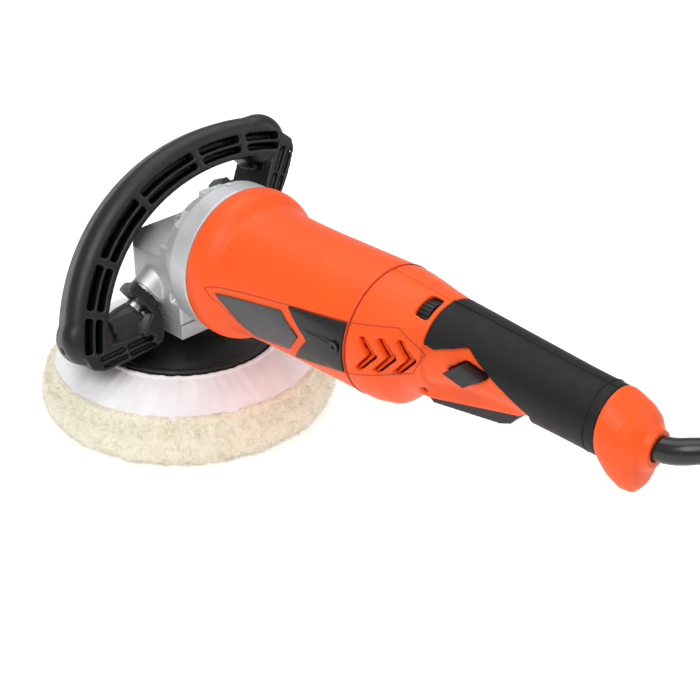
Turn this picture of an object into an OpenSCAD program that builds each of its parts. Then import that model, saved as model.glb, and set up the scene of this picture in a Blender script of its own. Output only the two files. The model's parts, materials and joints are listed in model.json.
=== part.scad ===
// Rotary polisher with a front hoop handle, a wool bonnet and a mains lead.
// Millimetres. Origin: centre of the working face of the pad, on the spindle axis.
// +Z up along the spindle, +X towards the tail, the machine is symmetric about the XZ plane.

/* [Pad] */
// Outside diameter of the wool bonnet
bonnet_d = 200; // [190:1:210]
// Rounding radius of the bonnet's edge
bonnet_edge = 14; // [12:0.5:15]
// Diameter of the rubber backing plate
plate_d = 122; // [118:1:126]
// Height of the underside of the backing plate
plate_z = 46; // [45:0.5:47]

/* [Gear head] */
// Height of the motor axis above the working face
motor_z = 124; // [124:1:126]
// Half width of the gear case
case_half = 30; // [30:0.5:32]
// Height of the flat top of the gear case
case_top = 128.5; // [128:0.5:131]
// Teeth on the crown wheel
crown_teeth = 38; // [38:1:38]
// Teeth on the pinion
pinion_teeth = 9; // [9:1:9]

/* [Motor] */
// Outside diameter of the motor housing
housing_d = 80; // [78:0.5:82]
// Outside diameter of the collar behind the gear case
collar_d = 98; // [96:0.5:100]
// Place of the seam between motor housing and rear housing
seam_x = 194; // [192:1:196]
// Wall of the housings
wall = 2.5; // [2:0.1:3]

/* [Hoop handle] */
// Outside radius of the arch
arch_outer = 149.5; // [146:0.5:151]
// Inside radius of the arch
arch_inner = 123; // [121:0.5:124]
// Turn of the handle about the motor axis, towards the left side
cant = 32; // [30:1:33]
// Forward lean of the handle at rest
lean = 29; // [26:1:29]

/* [Controls] */
// Angle that the trigger swings through
trigger_swing = 6; // [4:0.5:7]
// Travel of the lock-on button
lock_on_travel = 3; // [2:0.5:3]
// Diameter of the speed dial
dial_d = 20; // [19:0.5:20]

/* [Mains lead] */
// Diameter of the lead
cord_d = 7.5; // [7:0.1:8]

/* [Hidden] */

$fn = 64;
eps = 0.01;
run_fit = 0.05;                          // radial clearance of a running fit
free_gap = 0.4;                          // clearance between parts that pass each other
housing_r = housing_d / 2;
inner_r = housing_r - wall;
collar_r = collar_d / 2;
plate_r = plate_d / 2;
bonnet_r = bonnet_d / 2;

// gear train
crown_pitch_r = 25;
pinion_pitch_r = crown_pitch_r * pinion_teeth / crown_teeth;
mesh_drop = 5.4;                         // pinion axis to the top of the crown teeth
crown_top = motor_z - mesh_drop;
tooth_h = 2.2;
crown_r = 27;
crown_inner_r = 20;
pinion_tip_r = 6.9;
pinion_root_r = 4.4;
cavity_r = 27.6;
cavity_top = 119.5;
case_floor = 76;
lock_z = 104.5;                          // height of the spindle lock's pin

// bearings: 6002 on the spindle, 6000 and 608 on the motor shaft
spindle_r = 7.5;
lower_bearing_r = 16;
lower_bearing_z = 69.5;
lower_bearing_w = 9;
journal_r = 5;
bush_r = 8;
front_bearing_x = 36;
front_bearing_w = 8;
front_bearing_r = 13;
rear_bearing_x = 172;
rear_bearing_w = 7;
rear_bearing_r = 11;
flange_x = 48;
flange_end = 64;
flange_r = 48;
core_r = 21;
commutator_r = 12;
commutator_x = 150;
commutator_w = 16;
brush_x = 158;

// hoop handle
pivot = [5, 0, 114];
boss_end = 41.5;                           // handle boss, along the tilt axis
boss_r = 12;
bolt_r = 4;
lug_r = 12.6;
lug_in = 43.3;
lug_out = 50.4;
arch_cy = -90;                           // centre of the arch below the tilt axis
hoop_rear = 9;
hoop_front = -25;
arch_end = 44;                           // half angle of the arch
corner = [89, 9];                        // centre of the rounded corner, on the right
corner_r = 18;
leg_slope = 27.5;                        // rise of the legs towards the corners
rib_angles = [-47.5, -35.4, -20.6, 0, 20.6, 35.4, 47.5];
rib_w = 5;
pocket_h = 14;

// tail
grip_x = 239;
grip_end = 349.6;
cap_x = 350;
cap_end = 374;
grip_skin = 2.2;
hole_z = 127;

// controls
trigger_pivot = [232, 107];
dial_pos = [231, -7.5, 148.6];
lock_outline = [[255, 131.1], [266, 140], [281.6, 137.3], [270, 128.1]];

// lead: the guard, then the free lead, then the coil and the end with the plug
guard_points = [[356, 0, 127], [371, 0, 127], [383, 0.9, 128.8], [393, 5, 131.5], [402, 13, 133],
  [411, 23, 132.5], [419, 34, 130]];
guard_r = [7, 7, 6.9, 6.7, 6.4, 6, 5.6];
cord_points = [[419, 34, 130], [430, 50, 124], [440, 66, 112], [449, 80, 95],
  [457, 92, 76], [465, 102, 58], [474, 111, 43], [481, 115.6, 37.6], [487, 118.4, 34.4]];
coil_center = [510, 77, 0];
coil_inner = 29.4;
coil_outer = 49.2;
coil_h = 30;
end_points = [[561.2, 64, 3.9], [560.3, 56, 5], [560.6, 47, 6.8], [563, 36, 9.2],
  [567, 25.5, 11.2], [569.6, 18.5, 11.7], [570, 14.2, 11.7]];
plug_at = [570, 14, 11.7];               // where the lead goes into the plug

// ---------------------------------------------------------------- helpers

// a vector from one point to another, and unit vectors
function unit(v) = v / norm(v);
function perp(t) = unit(cross(t, abs(t.z) > 0.8 ? [1, 0, 0] : [0, 0, 1]));

// point on a Catmull-Rom curve between p1 and p2
function catmull(p0, p1, p2, p3, t) =
  0.5 * (2 * p1 + (p2 - p0) * t + (2 * p0 - 5 * p1 + 4 * p2 - p3) * t * t
  + (3 * p1 - p0 - 3 * p2 + p3) * t * t * t);

// a smooth line through a route's points, with steps points for each stretch
function smooth_line(p, steps) = concat(
  [for (i = [0 : len(p) - 2]) for (k = [0 : steps - 1])
    catmull(p[max(i - 1, 0)], p[i], p[i + 1], p[min(i + 2, len(p) - 1)], k / steps)],
  [p[len(p) - 1]]);

// direction of a line at its point i
function heading(p, i) = unit(p[min(i + 1, len(p) - 1)] - p[max(i - 1, 0)]);

// a tube of changing radius swept along a line
module sweep(line, radii, sides) {
  n = len(line);
  points = [for (i = [0 : n - 1]) let (t = heading(line, i), u = perp(t), v = cross(t, u))
    for (k = [0 : sides - 1]) let (a = 360 * k / sides)
    line[i] + radii[i] * (cos(a) * u + sin(a) * v)];
  skin = [for (i = [0 : n - 2]) for (k = [0 : sides - 1]) let (m = (k + 1) % sides)
    let (b = i * sides) each [[b + k, b + m, b + sides + m], [b + k, b + sides + m, b + sides + k]]];
  ends = [[for (k = [sides - 1 : -1 : 0]) k], [for (k = [0 : sides - 1]) (n - 1) * sides + k]];
  polyhedron(points, concat(skin, ends), convexity = 6);
}

// a compression spring along +Z
module coil_spring(r, wire, h, turns) {
  steps = turns * 10;
  line = [for (i = [0 : steps]) [r * cos(36 * i), r * sin(36 * i), wire + (h - 2 * wire) * i / steps]];
  sweep(line, [for (i = line) wire], 6);
}

// a shell of oval rings along X, each ring [x, centre z, half width, height above, depth below]
module loft(rings, trim = 0, sides = 48) {
  n = len(rings);
  points = [for (i = [0 : n - 1]) for (k = [0 : sides - 1])
    let (a = 360 * (k + 0.5) / sides, g = rings[i], up = sin(a) > 0 ? g[3] : g[4])
    [g[0], (g[2] - trim) * cos(a), g[1] + (up - trim) * sin(a)]];
  skin = [for (i = [0 : n - 2]) for (k = [0 : sides - 1]) let (m = (k + 1) % sides)
    let (b = i * sides) each [[b + k, b + sides + k, b + sides + m], [b + k, b + sides + m, b + m]]];
  ends = [[for (k = [0 : sides - 1]) k], [for (k = [sides - 1 : -1 : 0]) (n - 1) * sides + k]];
  polyhedron(points, concat(skin, ends), convexity = 6);
}

// a cylinder along +X from x0 to x1 about the motor axis
module rod_x(x0, x1, r) {
  translate([x0, 0, motor_z]) rotate([0, 90, 0]) cylinder(h = x1 - x0, r = r);
}

// a turned body about the motor axis, outline in [x, radius]
module turned_x(outline) {
  translate([0, 0, motor_z]) rotate([0, 90, 0]) rotate([0, 0, 90])
    rotate_extrude() polygon([for (p = outline) [p[1], p[0]]]);
}

// an upright plate: an outline in [x, z] between two values of y
module upright(outline, y0, y1) {
  translate([0, y1, 0]) rotate([90, 0, 0]) linear_extrude(y1 - y0) polygon(outline);
}

module both_sides() {
  children();
  mirror([0, 1, 0]) children();
}

// places children in the frame of the hoop: x along the tilt axis, y up the hoop, z to the rear
module in_hoop() {
  translate(pivot) rotate([cant, 0, 0]) rotate([0, -lean, 0]) rotate([90, 0, 90]) children();
}

// places children along the tilt axis, +Z outwards on the left or the right side
module on_tilt_axis(side) {
  translate(pivot) rotate([cant, 0, 0]) rotate([side > 0 ? -90 : 90, 0, 0]) children();
}

// ---------------------------------------------------------------- pad

module wool_bonnet() {
  arc = [for (a = [-90 : 10 : 40])
    [bonnet_r - bonnet_edge + bonnet_edge * cos(a), bonnet_edge + bonnet_edge * sin(a)]];
  color("wheat") rotate_extrude() polygon(concat([[0, 0]], arc,
    [[91.5, 33.8], [85.6, 33], [86.6, 24], [84.4, 15.5], [0, 15.5]]));
}

module bonnet_skirt() {
  color("white") rotate_extrude() polygon([[61.4, 45.4], [83, 33.6], [91.5, 34],
    [82, 40.4], [71, 45.2], [63, 46.4]]);
}

module drawstring() {
  color("white") rotate_extrude() translate([63.4, 47.6]) circle(r = 1.2, $fn = 24);
}

module foam_pad() {
  color("dimgray") rotate_extrude() polygon([[14, 15.5], [84, 15.5], [86, 24],
    [82.4, 33], [60, plate_z], [14, plate_z]]);
}

module backing_plate() {
  color("#222222") rotate_extrude() polygon([[12, plate_z], [plate_r, plate_z],
    [plate_r, plate_z + 4], [plate_r - 1, plate_z + 4.6], [plate_r - 4, plate_z + 4.8],
    [plate_r - 5, plate_z + 4], [plate_r - 7, plate_z + 5], [28, plate_z + 11],
    [22, plate_z + 16.5], [12, plate_z + 16.5]]);
}

module hub_nut() {
  color("silver") difference() {
    translate([0, 0, plate_z]) cylinder(h = 16.5, r = 12);
    translate([0, 0, plate_z - 1]) cylinder(h = 20, r = 7);
  }
}

// ---------------------------------------------------------------- spindle and gears

module spindle() {
  shaft = spindle_r - run_fit;
  color("silver") rotate_extrude() polygon([[0, 48], [6, 48], [7, 49], [7, 63], [11, 63],
    [11, 68], [9, 68], [9, lower_bearing_z], [shaft, lower_bearing_z], [shaft, 100], [7, 100],
    [7, 117.5], [journal_r, 117.5], [journal_r, 127], [0, 127]]);
}

module ring_bearing(bore, outer, w) {
  groove = (outer - bore) / 3;
  rotate_extrude() polygon([[bore, 0], [bore + groove, 0], [bore + groove, 0.6],
    [outer - groove, 0.6], [outer - groove, 0], [outer, 0], [outer, w],
    [outer - groove, w], [outer - groove, w - 0.6], [bore + groove, w - 0.6],
    [bore + groove, w], [bore, w]]);
}

module spindle_bearing() {
  color("lightgray") translate([0, 0, lower_bearing_z])
    ring_bearing(spindle_r, lower_bearing_r, lower_bearing_w);
}

module spindle_bush() {
  color("goldenrod") translate([0, 0, cavity_top]) difference() {
    cylinder(h = 7.5, r = bush_r);
    translate([0, 0, -1]) cylinder(h = 10, r = journal_r + run_fit);
  }
}

module crown_gear() {
  gap = crown_top - tooth_h;
  pitch = 360 / crown_teeth;
  tooth_r = tan(pitch * 0.14);
  color("slategray") difference() {
    union() {
      translate([0, 0, 100]) cylinder(h = gap - 100, r = 13);
      translate([0, 0, 109]) cylinder(h = gap - 109, r = crown_r);
      intersection() {
        for (i = [0 : crown_teeth - 1]) rotate((i + 0.5) * pitch)
          translate([0, 0, gap - 1]) linear_extrude(tooth_h + 1)
          polygon([[crown_inner_r, -crown_inner_r * tooth_r], [28, -28 * tooth_r],
            [28, 28 * tooth_r], [crown_inner_r, crown_inner_r * tooth_r]]);
        cylinder(h = crown_top, r = crown_r);
      }
    }
    translate([0, 0, 99]) cylinder(h = 30, r = 7);
    for (i = [0 : 3]) rotate(i * 90) translate([9.5, 0, lock_z]) rotate([0, 90, 0])
      cylinder(h = 8, r = 3.9);
  }
}

module pinion() {
  teeth = [for (i = [0 : pinion_teeth - 1]) for (p = [[-14, 0], [-9, 1], [9, 1], [14, 0]])
    let (a = i * 360 / pinion_teeth + p[0] * (p[1] == 1 ? 0.5 : 1),
      r = p[1] == 1 ? pinion_tip_r : pinion_root_r) [r * cos(a), r * sin(a)]];
  color("slategray") difference() {
    union() {
      translate([20.5, 0, motor_z]) rotate([0, 90, 0]) linear_extrude(7.1) polygon(teeth);
      rod_x(27.5, 34, 6.3);
    }
    rod_x(18, 36, 3);
  }
}

// ---------------------------------------------------------------- gear case

module case_outline() {
  polygon([[-40, -9], [-13, -case_half], [34, -case_half], [34, case_half],
    [-13, case_half], [-40, 9]]);
}

module gear_case() {
  color("darkgray") difference() {
    union() {
      difference() {
        translate([0, 0, case_floor]) linear_extrude(case_top - case_floor) case_outline();
        upright([[-50, 112.6], [-40, 112.6], [-13, case_top + 1], [-14, 140], [-50, 140]], -40, 40);
        both_sides() translate([-45, 0, 0]) rotate([90, 0, 90]) linear_extrude(60)
          polygon([[9.5, 131], [31, 118.8], [31, 131]]);
      }
      rod_x(12, 36, 12);
      translate([30, 0, motor_z]) rotate([0, 90, 0]) cylinder(h = 18, r1 = 36, r2 = 46);
      rod_x(flange_x, flange_end, flange_r);
      for (side = [-1, 1]) on_tilt_axis(side) translate([0, 0, 12])
        cylinder(h = boss_end - 12, r = boss_r);
      translate([33, -9, 150]) cube([26, 18, 15]);
      for (a = [45, 135, 225, 315]) translate([41, 0, motor_z]) rotate([a, 0, 0])
        translate([0, -6, 34]) cube([15, 12, 12.4]);
    }
    translate([0, 0, case_floor - 1]) cylinder(h = cavity_top - case_floor + 1, r = cavity_r);
    translate([0, 0, cavity_top - 1]) cylinder(h = 8.5, r = bush_r);
    rod_x(12.5, 37, 8);
    rod_x(front_bearing_x, flange_x, front_bearing_r);
    rod_x(46, 70, 40);
    translate([40, 0, 155]) cylinder(h = 20, r = 3.4);
    translate([52, 0, 155]) cylinder(h = 20, r = 1.6);
    for (side = [-1, 1]) on_tilt_axis(side) {
      translate([0, 0, 36]) cylinder(h = 20, r = bolt_r);
      translate([0, 0, boss_end]) cylinder(h = 20, r = 13.2);
    }
    for (x = [-1, 1]) for (y = [-1, 1]) translate([x > 0 ? 26 : -32.5, y * (x > 0 ? 23 : 7), case_floor - 1])
      cylinder(h = 13, r = 2);
    for (a = [45, 135, 225, 315]) translate([36, 0, motor_z]) rotate([a, 0, 0])
      translate([0, 0, 42.7]) rotate([0, 90, 0]) {
        cylinder(h = 40, r = 2.1);
        translate([0, 0, -12]) cylinder(h = 18, r = 4);
      }
    translate([0, 20, lock_z]) rotate([-90, 0, 0]) cylinder(h = 20, r = 3.6);
  }
}

module gear_case_screws() {
  color("gray") for (a = [45, 135, 225, 315]) translate([0, 0, motor_z]) rotate([a, 0, 0])
    translate([0, 0, 42.7]) rotate([0, 90, 0]) {
      translate([0, 0, 42]) cylinder(h = 32, r = 2.1);
      difference() {
        translate([0, 0, 38.5]) cylinder(h = 3.5, r = 3.6);
        translate([0, 0, 38]) cylinder(h = 2.2, r = 1.6, $fn = 6);
      }
    }
}

module bearing_plate() {
  color("darkgray") difference() {
    union() {
      translate([0, 0, 66]) linear_extrude(case_floor - 66) case_outline();
      translate([0, 0, 64]) cylinder(h = 3, r = 20);
      translate([0, 0, 75]) cylinder(h = 4, r = cavity_r - 0.05);
    }
    translate([0, 0, 60]) cylinder(h = 10, r = 11.6);
    translate([0, 0, lower_bearing_z]) cylinder(h = 12, r = lower_bearing_r);
    for (x = [-1, 1]) for (y = [-1, 1]) translate([x > 0 ? 26 : -32.5, y * (x > 0 ? 23 : 7), 60]) {
      cylinder(h = 20, r = 2);
      cylinder(h = 9.5, r = 4);
    }
  }
}

module bearing_plate_screws() {
  color("gray") for (x = [-1, 1]) for (y = [-1, 1])
    translate([x > 0 ? 26 : -32.5, y * (x > 0 ? 23 : 7), 0]) difference() {
      union() {
        translate([0, 0, 69.5]) cylinder(h = 17, r = 2);
        translate([0, 0, 66.5]) cylinder(h = 3, r = 3.6);
      }
      translate([0, 0, 66]) cylinder(h = 2, r = 1.5, $fn = 6);
    }
}

module spindle_lock_button() {
  color("#333333") translate([0, 0, lock_z]) rotate([-90, 0, 0]) {
    translate([0, 0, 14.2]) cylinder(h = 23, r = 3.6 - run_fit);
    translate([0, 0, 36]) cylinder(h = 4, r = 7);
  }
}

module spindle_lock_spring() {
  color("silver") translate([0, 30.1, lock_z]) rotate([-90, 0, 0]) coil_spring(5, 0.4, 5.8, 2.5);
}

// ---------------------------------------------------------------- motor

module front_bearing() {
  color("lightgray") translate([front_bearing_x, 0, motor_z]) rotate([0, 90, 0])
    ring_bearing(5, front_bearing_r, front_bearing_w);
}

module rear_bearing() {
  color("lightgray") translate([rear_bearing_x, 0, motor_z]) rotate([0, 90, 0])
    ring_bearing(4, rear_bearing_r, rear_bearing_w);
}

module armature_shaft() {
  color("silver") turned_x([[20.5, 0], [20.5, 3], [34, 3], [34, 5 - run_fit],
    [45, 5 - run_fit], [45, 6], [60, 6], [60, 5], [170, 5], [170, 4 - run_fit],
    [182, 4 - run_fit], [182, 0]]);
}

module armature_core() {
  color("dimgray") difference() {
    rod_x(98, 138, core_r);
    rod_x(90, 150, 5);
    for (i = [0 : 11]) translate([97, 0, motor_z]) rotate([i * 30, 0, 0])
      translate([0, -1.6, core_r - 7]) cube([42, 3.2, 6]);
    for (i = [0 : 11]) translate([97, 0, motor_z]) rotate([i * 30, 0, 0])
      translate([0, -0.6, core_r - 2]) cube([42, 1.2, 4]);
  }
}

module armature_winding() {
  color("chocolate") {
    turned_x([[88, 6], [97.5, 6], [97.5, 18.5], [94, 19.5], [90, 17], [88, 12]]);
    turned_x([[138.5, 6], [148.5, 6], [148.5, 11], [146, 17], [142, 19.5], [138.5, 18.5]]);
  }
}

module commutator() {
  color("peru") difference() {
    rod_x(commutator_x, commutator_x + commutator_w, commutator_r);
    rod_x(140, 180, 5);
    for (i = [0 : 23]) translate([commutator_x - 1, 0, motor_z]) rotate([i * 15, 0, 0])
      translate([0, -0.3, commutator_r - 1.2]) cube([commutator_w + 2, 0.6, 2]);
  }
}

module fan() {
  color("ivory") difference() {
    union() {
      rod_x(78, 80, 35);
      rod_x(68, 80, 10);
      for (i = [0 : 8]) translate([68, 0, motor_z]) rotate([i * 40, 0, 0])
        rotate([0, 0, 0]) translate([0, -1, 9]) cube([11, 2, 26]);
    }
    rod_x(60, 90, 5);
  }
}

module bearing_bridge() {
  color("#303030") difference() {
    rod_x(170, 181, inner_r);
    rod_x(160, rear_bearing_x + rear_bearing_w, rear_bearing_r);
    rod_x(160, 190, 6);
    for (i = [0 : 5]) translate([165, 0, motor_z]) rotate([i * 60, 0, 0])
      translate([0, -8, 17]) cube([20, 16, 14]);
  }
}

module air_baffle() {
  color("#303030") difference() {
    rod_x(87, 90, inner_r);
    rod_x(80, 100, 26);
  }
}

module stator_core() {
  color("gray") difference() {
    rod_x(98, 138, inner_r);
    rod_x(90, 150, core_r + 0.9);
    for (s = [-1, 1]) translate([90, -40, motor_z + (s > 0 ? 33 : -53)]) cube([60, 80, 20]);
  }
}

module field_coils() {
  color("chocolate") for (s = [0, 180]) for (x = [90.5, 138.5]) translate([x, 0, motor_z])
    rotate([s, 0, 0]) rotate([0, 90, 0]) rotate([0, 0, 120]) rotate_extrude(angle = 120)
    translate([25, 0]) square([8, 7]);
}

// the line of the housing's outside behind its collar, in [x, radius]
housing_line = [[86, 42.6], [95, 41.2], [110, 40.4], [130, housing_r], [seam_x, housing_r]];

module motor_housing() {
  color("orangered") difference() {
    turned_x(concat([[flange_end, 0], [flange_end, 47.6], [65.5, collar_r - 0.4],
      [68, collar_r], [74, collar_r], [79, 47.6], [83, 45]], housing_line, [[seam_x, 0]]));
    turned_x([[60, 0], [60, 44], [78, 44], [87, inner_r], [200, inner_r], [200, 0]]);
    both_sides() translate([brush_x - 7, 20, motor_z - 11]) cube([18, 30, 22]);
    translate([188, 60, 127]) rotate([90, 0, 0]) cylinder(h = 120, r = 2);
    for (a = [45, 135, 225, 315]) translate([0, 0, motor_z]) rotate([a, 0, 0])
      translate([0, 0, 42.7]) rotate([0, 90, 0]) translate([0, 0, 60]) cylinder(h = 14, r = 2.1);
  }
}

module brush_holders() {
  color("goldenrod") both_sides() difference() {
    translate([brush_x - 5, 14, motor_z - 7]) cube([10, 22, 14]);
    translate([brush_x - 3.2, 13, motor_z - 5.2]) cube([6.4, 30, 10.4]);
  }
}

module carbon_brushes() {
  color("#1c1c1c") both_sides()
    translate([brush_x - 3, commutator_r + 0.4, motor_z - 5]) cube([6, 13, 10]);
}

module brush_springs() {
  color("silver") both_sides() translate([brush_x, commutator_r + 13.5, motor_z])
    rotate([-90, 0, 0]) coil_spring(2.2, 0.4, 9, 5);
}

// outlines of the parts set in the sides, in [x, z]
cover_outline = [[147.5, 136.5], [193, 142], [193, 111.8], [148, 101.5], [164.5, 121.4]];
plate_outline = [[86, 124], [141.5, 132], [156, 119.8], [146, 107], [112, 100.5]];

// a part of the curved skin outside the motor housing, cut to an outline
module side_skin(outline, thick) {
  intersection() {
    turned_x(concat([for (p = housing_line) [p.x, p.y + thick]],
      [for (i = [len(housing_line) - 1 : -1 : 0]) housing_line[i]]));
    upright(outline, -60, -20);
  }
}

module brush_covers() {
  color("#26282a") both_sides() difference() {
    side_skin(cover_outline, 1.4);
    translate([188, 0, 127]) rotate([90, 0, 0]) cylinder(h = 60, r = 2);
  }
}

module brush_cover_screws() {
  color("gray") both_sides() translate([188, 0, 127]) rotate([90, 0, 0]) {
    translate([0, 0, 36]) cylinder(h = 6, r = 2);
    difference() {
      translate([0, 0, 41.4]) cylinder(h = 1.2, r = 3.4);
      translate([0, 0, 41.8]) cylinder(h = 3, r = 1.4, $fn = 6);
    }
  }
}

module side_plates() {
  color("#4a4c4e") both_sides() side_skin(plate_outline, 0.9);
}

// ---------------------------------------------------------------- rear housing

body_rings = [[seam_x, 124, 40, 40, 40], [204, 124, 38.6, 39.4, 40.5],
  [214, 125, 35.6, 37.4, 39.5], [224, 128.5, 31.4, 32.6, 30.5],
  [236, 132.5, 27, 27.4, 27.5], [262, 135, 23, 23.4, 24], [293, 134.8, 20.9, 21, 22],
  [325, 132.8, 20, 20.2, 20.6], [cap_x, 131.6, 19.6, 19.8, 20.4]];

// three slots shaped like arrow heads, through both sides
module chevrons() {
  for (i = [0 : 2]) translate([i * 11 - 2.3, 0, i * 1.4])
    upright([[203, 137], [208, 137.6], [217, 128], [207, 117], [202, 116.4], [211, 127.2]], -60, 60);
}

// the thick outer body, less the skin of the grip
module body_outer() {
  difference() {
    loft(body_rings);
    translate([grip_x, -50, 90]) cube([grip_end - grip_x, 100, 90]);
  }
  intersection() {
    loft(body_rings, grip_skin);
    translate([grip_x - 1, -50, 90]) cube([grip_end - grip_x + 2, 100, 90]);
  }
  upright([[216, 106], [226, 101], [236, 101.5], [298, 117], [306, 123], [306, 128],
    [216, 128]], -13.5, 13.5);
}

module body_inner() {
  loft([for (g = body_rings) [g[0] + (g[0] == seam_x ? -1 : 0) + (g[0] == cap_x ? 1 : 0),
    g[1], g[2], g[3], g[4]]], grip_skin + wall);
}

// the screws that hold the halves together, in [x, z], put in from the right side
housing_screw_places = [[219, 113], [303, 133], [284, 146]];
screw_head_y = 12;

module screw_rods(y0, y1, r) {
  for (p = housing_screw_places) translate([p.x, y1, p.y]) rotate([90, 0, 0])
    cylinder(h = y1 - y0, r = r);
}

module rear_shell() {
  difference() {
    union() {
      difference() {
        body_outer();
        body_inner();
        upright([[227, 90], [227, 130], [297, 130], [297, 90]], -11, 11);
      }
      intersection() {
        screw_rods(-39, 39, 4.2);
        loft(body_rings, grip_skin + 1);
      }
    }
    chevrons();
    translate([trigger_pivot.x, 20, trigger_pivot.y]) rotate([90, 0, 0]) cylinder(h = 40, r = 2);
    upright([[254, 130.9], [265.8, 140.6], [282.8, 137.7], [270.2, 127.5]], -40, -10);
    translate(dial_pos) rotate([21, 0, 0]) {
      translate([-4.4, -8, 0]) cube([8.8, 16, 20]);
      translate([-4.5, -10.8, -10.8]) cube([9, 21.6, 17]);
    }
    screw_rods(-12, 39, 1.6);
    screw_rods(screw_head_y, 45, 3.2);
  }
}

module rear_housing_left() {
  color("orangered") difference() {
    rear_shell();
    translate([150, 0, 0]) cube([250, 100, 250]);
  }
}

module rear_housing_right() {
  color("orangered") difference() {
    rear_shell();
    translate([150, -100, 0]) cube([250, 100, 250]);
  }
}

module soft_grip() {
  color("#262626") difference() {
    intersection() {
      loft(body_rings);
      translate([grip_x, -50, 90]) cube([grip_end - grip_x, 100, 90]);
    }
    loft(body_rings, grip_skin);
    upright([[230, 90], [230, 144], [246, 141], [266, 148], [308, 124], [300, 90]], -40, 40);
    screw_rods(screw_head_y, 45, 3.2);
  }
}

module housing_screws() {
  color("gray") {
    screw_rods(-11.5, screw_head_y + 0.5, 1.6);
    difference() {
      screw_rods(screw_head_y, screw_head_y + 2.4, 3);
      for (p = housing_screw_places) translate([p.x, screw_head_y + 3, p.y]) rotate([90, 0, 0])
        cylinder(h = 2, r = 1.4, $fn = 6);
    }
  }
}

module trigger() {
  color("#232323") difference() {
    upright([[228, 111], [228, 103], [236, 97.5], [284, 105], [291, 108], [294, 112],
      [294, 118], [240, 113]], -10.5, 10.5);
    translate([trigger_pivot.x, 20, trigger_pivot.y]) rotate([90, 0, 0])
      cylinder(h = 40, r = 2 + run_fit);
    translate([266, 0, 109]) cylinder(h = 20, r = 4.4);
  }
}

module trigger_pin() {
  color("silver") translate([trigger_pivot.x, 12, trigger_pivot.y]) rotate([90, 0, 0])
    cylinder(h = 24, r = 2);
}

module trigger_spring() {
  color("silver") translate([266, 0, 109.1]) coil_spring(3.2, 0.5, 16.8, 5);
}

module switch_body() {
  color("#3a3a3a") difference() {
    translate([238, -8.5, 126]) cube([40, 17, 20]);
    translate([250, -9, 132]) cube([8, 3, 6]);
  }
}

module lock_on_button() {
  color("#232323") upright(lock_outline, -26.6, -14.5);
}

module lock_on_spring() {
  color("silver") translate([268, -9, 134]) rotate([90, 0, 0]) coil_spring(2.4, 0.4, 5, 3);
}

module speed_dial() {
  color("#1f1f1f") translate(dial_pos) rotate([0, 90, 0]) translate([0, 0, -3.8]) difference() {
    cylinder(h = 7.6, r = dial_d / 2);
    translate([0, 0, -1]) cylinder(h = 10, r = 1.5 + run_fit);
    for (i = [0 : 23]) rotate(i * 15) translate([dial_d / 2, 0, -1]) cylinder(h = 10, r = 0.7);
  }
}

module speed_board() {
  color("darkgreen") {
    translate([214, -13, 131.5]) cube([22, 26, 1.6]);
    translate([217, 4, 133.1]) cube([9, 7, 5]);
    for (x = [225.8, 234.9]) translate([x, dial_pos.y - 3, 133.1]) cube([1.3, 6, 17.4]);
    translate([225.8, dial_pos.y, dial_pos.z]) rotate([0, 90, 0]) cylinder(h = 10.4, r = 1.5);
  }
}

// a smooth cap that flares down behind the grip, and a nose for the lead
module tail_cap() {
  color("orangered") difference() {
    loft([[cap_x, 131.6, 19.8, 20, 20.6], [cap_x + 2, 131.2, 20.2, 20.2, 24],
      [cap_x + 6, 130, 20.2, 19.8, 28.6], [cap_x + 12, 128.4, 19.6, 18.8, 30.9],
      [cap_x + 17, 127.2, 17.6, 16.6, 29.6], [cap_x + 20, 126.8, 14.6, 13.6, 25],
      [cap_x + 22, 127, 11.4, 11, 15], [cap_end + 2, 127, 10, 10, 10.4]], 0, 40);
    translate([cap_x - 1, 0, 130]) rotate([0, 90, 0]) cylinder(h = 10, r = 14);
    translate([cap_x, 0, hole_z]) rotate([0, 90, 0]) cylinder(h = 40, r = 7.2);
  }
}

module cord_clamp() {
  color("#3a3a3a") difference() {
    translate([cap_x - 7, -10, hole_z - 5]) cube([6, 20, 12]);
    translate([cap_x - 10, 0, hole_z]) rotate([0, 90, 0]) cylinder(h = 12, r = 4);
  }
}

// ---------------------------------------------------------------- mains lead

module cord_guard() {
  line = smooth_line(guard_points, 3);
  n = len(line) - 1;
  color("#1a1a1a")
    sweep(line, [for (i = [0 : n]) lookup(6 * i / n, [for (k = [0 : 6]) [k, guard_r[k]]])], 16);
}

module cord() {
  line = smooth_line(cord_points, 2);
  color("#1a1a1a") sweep(line, [for (p = line) cord_d / 2], 10);
}

module cord_coil() {
  color("#1a1a1a") translate(coil_center) rotate_extrude()
    translate([coil_inner, 0]) square([coil_outer - coil_inner, coil_h]);
}

module cord_end() {
  line = smooth_line(end_points, 2);
  color("#1a1a1a") sweep(line, [for (p = line) cord_d / 2], 10);
}

module plug() {
  color("#1a1a1a") translate(plug_at) rotate([90, 0, 0]) {
    cylinder(h = 12, r1 = 6, r2 = 8);
    hull() for (x = [-7, 7]) translate([x, 0, 11]) {
      cylinder(h = 26, r = 11.5, $fn = 32);
      cylinder(h = 30, r = 10, $fn = 32);
    }
  }
}

module plug_pins() {
  color("silver") for (x = [-9.5, 9.5]) translate(plug_at) rotate([90, 0, 0])
    translate([x, 0, 41]) cylinder(h = 19, r = 2.4);
}

// ---------------------------------------------------------------- hoop handle

leg_outline = [[48.5, -5], [86, 14], [100, 12], [104, -5], [97, -14], [61, -28],
  [54, -17], [48.5, -8]];

// the web that joins a lug to its leg, past the rear corner of the gear case
web_outline = [[46, 10], [lug_out, 10], [lug_out + 1, -9], [66, -13], [66, -25], [60, -26.5],
  [54, -22], [50, -17.5], [46, -11]];

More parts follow.
